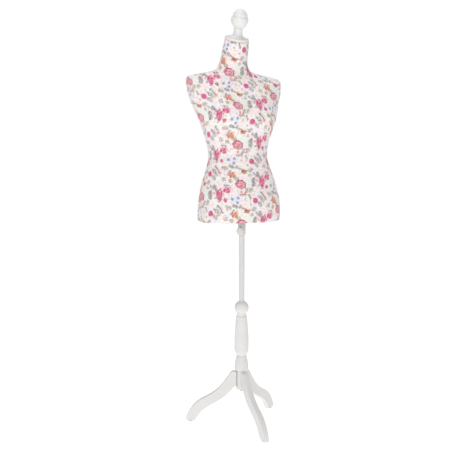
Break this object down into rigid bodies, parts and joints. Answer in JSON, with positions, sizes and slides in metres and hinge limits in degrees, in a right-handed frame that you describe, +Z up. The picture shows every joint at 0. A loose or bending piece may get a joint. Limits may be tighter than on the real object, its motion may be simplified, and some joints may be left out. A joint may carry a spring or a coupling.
{
  "type": "dress form mannequin",
  "caption": "Free-standing dress form: a padded torso covered in printed cloth with a turned neck finial, on a height-adjustable pole and a tripod of curved legs.",
  "frame": {"origin": "on the floor, under the middle of the object's box; the pole stands 34 mm behind it", "axes": "+Z up along the pole, the form faces -Y, +X to the form's own left hand"},
  "size_m": [0.3874, 0.3708, 1.5799],
  "materials": {
    "white_wood": "satin white paint on turned wood",
    "bare_wood": "bare plywood",
    "pole_enamel": "grey-white enamel on steel tube",
    "grey_plastic": "moulded grey-white plastic",
    "dark_plastic": "moulded dark plastic",
    "zinc_steel": "zinc-plated steel",
    "felt": "pressed felt",
    "foam": "moulded foam",
    "printed_cloth": "woven cotton with a printed flower pattern"
  },
  "bodies": {
    "stand": {"leg_front": "white_wood", "leg_front_bolt": "zinc_steel", "leg_front_insert": "zinc_steel", "leg_front_pad": "felt", "leg_rear_left": "white_wood", "leg_rear_left_bolt": "zinc_steel", "leg_rear_left_insert": "zinc_steel", "leg_rear_left_pad": "felt", "leg_rear_right": "white_wood", "leg_rear_right_bolt": "zinc_steel", "leg_rear_right_insert": "zinc_steel", "leg_rear_right_pad": "felt", "hub": "white_wood", "tie_rod": "zinc_steel", "tie_washer": "zinc_steel", "tie_nut": "zinc_steel", "pillar": "white_wood", "lower_pole": "pole_enamel", "pole_end_nut": "zinc_steel", "pole_guide": "dark_plastic"},
    "mast": {"upper_tube": "pole_enamel", "upper_tube_plug": "dark_plastic", "lock_collar": "grey_plastic", "lock_nut": "zinc_steel"},
    "lock_tip": {"lock_pad": "dark_plastic"},
    "lock_knob": {"lock_knob": "grey_plastic", "lock_screw": "zinc_steel"},
    "form": {"fabric_cover": "printed_cloth", "foam_core": "foam", "neck_core": "foam", "base_board": "bare_wood", "socket_sleeve": "dark_plastic", "flange_screw_1": "zinc_steel", "flange_screw_2": "zinc_steel", "flange_screw_3": "zinc_steel", "flange_screw_4": "zinc_steel", "neck_plug": "bare_wood", "finial_screw": "zinc_steel", "neck_cap": "white_wood", "finial_ball": "white_wood"}
  },
  "joints": [
    {"name": "height_slide", "type": "slide", "parent": "stand", "child": "mast", "axis": [0, 0, 1], "range_m": [-0.25, 0.1]},
    {"name": "form_swivel", "type": "hinge", "parent": "mast", "child": "form", "pos_m": [0, 0.034, 0.792], "axis": [0, 0, 1], "continuous": true},
    {"name": "lock_travel", "type": "slide", "parent": "mast", "child": "lock_tip", "axis": [-0.6561, -0.7547, 0], "range_m": [0, 0.00375]},
    {"name": "lock_turn", "type": "hinge", "parent": "lock_tip", "child": "lock_knob", "pos_m": [-0.01279, 0.01928, 0.7555], "axis": [-0.6561, -0.7547, 0], "range_deg": [0, 1080]}
  ],
  "couplings": [
    {"joint": "lock_travel", "follows": "lock_turn", "m_per_rad": 0.00019894}
  ]
}
